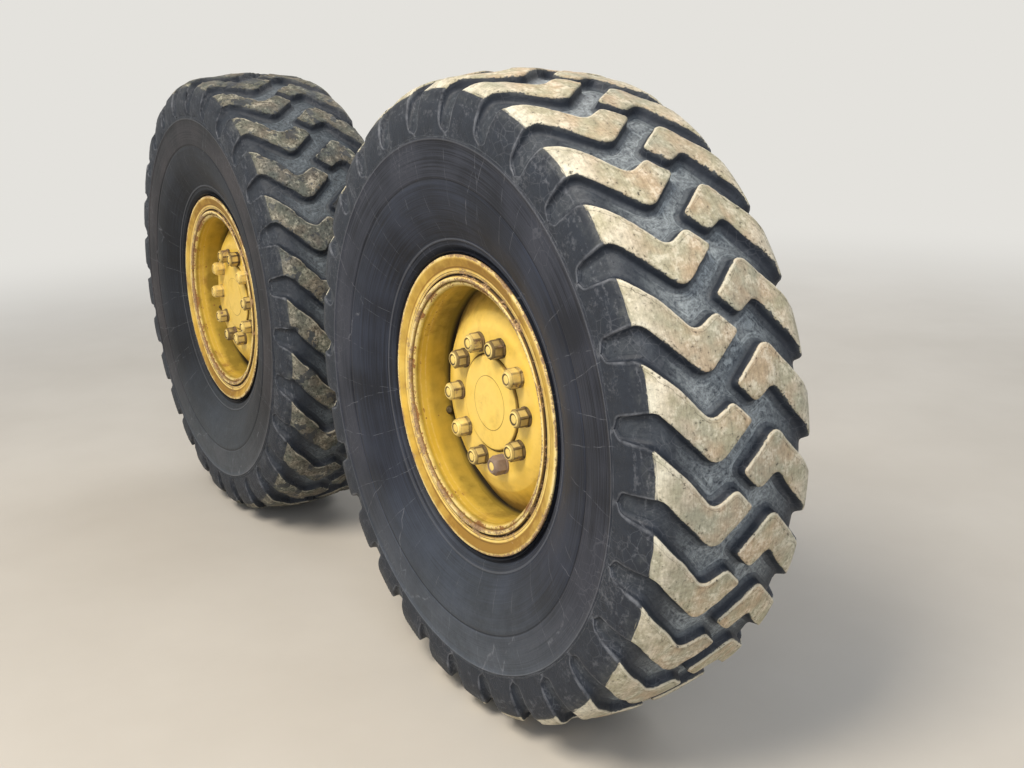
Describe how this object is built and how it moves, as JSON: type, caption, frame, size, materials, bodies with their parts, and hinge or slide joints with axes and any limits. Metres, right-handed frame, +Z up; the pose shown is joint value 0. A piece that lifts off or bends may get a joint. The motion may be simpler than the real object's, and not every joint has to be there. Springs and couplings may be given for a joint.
{
  "type": "motor grader tandem wheel unit",
  "caption": "Right-hand tandem of a motor grader: chain case rocking on a flanged pivot, with lugged tyres on split-ring rims that turn freely.",
  "frame": {"origin": "centre of the pivot flange's mounting face, which bolts to the rear axle's housing", "axes": "+X to the machine's front, +Y inboard along the pivot axis, +Z up"},
  "size_m": [3.1399, 0.851, 1.484],
  "materials": {
    "case_paint": "yellow machine enamel over welded and cast steel, dusty and chipped at edges",
    "cover_paint": "yellow enamel on pressed steel covers, dusty",
    "rim_paint": "yellow enamel on rolled rim steel, chipped to rust along the lips",
    "ring_paint": "yellow enamel mostly worn off a split steel ring, purple-brown rust",
    "disc_paint": "yellow enamel on pressed disc and turned hub, light stains",
    "nut_paint": "yellow enamel on forged nuts, grimy flanks",
    "pipe_paint": "yellow enamel over steel pipe and clips",
    "bare_steel": "plated steel dulled by dust",
    "valve_brass": "dark oxidised valve stem and cap",
    "tyre_rubber": "matt charcoal rubber, tan dust on the lugs, fine cracks on the sidewall"
  },
  "bodies": {
    "pivot": {"pivot_housing": "case_paint"},
    "tandem": {"pivot_collar": "case_paint", "case_inner_plate": "case_paint", "case_outer_plate": "case_paint", "case_wrapper": "case_paint", "centre_cover": "cover_paint", "top_cover_front": "cover_paint", "top_cover_rear": "cover_paint", "filler_neck": "bare_steel", "drain_plug_front": "bare_steel", "brake_pipe_front": "pipe_paint", "spindle_housing_front": "case_paint", "drain_plug_rear": "bare_steel", "brake_pipe_rear": "pipe_paint", "spindle_housing_rear": "case_paint"},
    "wheel_front": {"hub_front": "disc_paint", "wheel_disc_front": "disc_paint", "rim_base_front": "rim_paint", "side_ring_front": "rim_paint", "lock_ring_front": "ring_paint", "wheel_nuts_front": "nut_paint", "valve_front": "valve_brass", "tyre_front": "tyre_rubber"},
    "wheel_rear": {"hub_rear": "disc_paint", "wheel_disc_rear": "disc_paint", "rim_base_rear": "rim_paint", "side_ring_rear": "rim_paint", "lock_ring_rear": "ring_paint", "wheel_nuts_rear": "nut_paint", "valve_rear": "valve_brass", "tyre_rear": "tyre_rubber"}
  },
  "joints": [
    {"name": "tandem_rock", "type": "hinge", "parent": "pivot", "child": "tandem", "pos_m": [0, -0.1, 0], "axis": [0, 1, 0], "range_deg": [-15, 25]},
    {"name": "wheel_front_spin", "type": "hinge", "parent": "tandem", "child": "wheel_front", "pos_m": [0.828, -0.63, -0.03], "axis": [0, 1, 0], "continuous": true},
    {"name": "wheel_rear_spin", "type": "hinge", "parent": "tandem", "child": "wheel_rear", "pos_m": [-0.828, -0.63, -0.03], "axis": [0, 1, 0], "continuous": true}
  ]
}
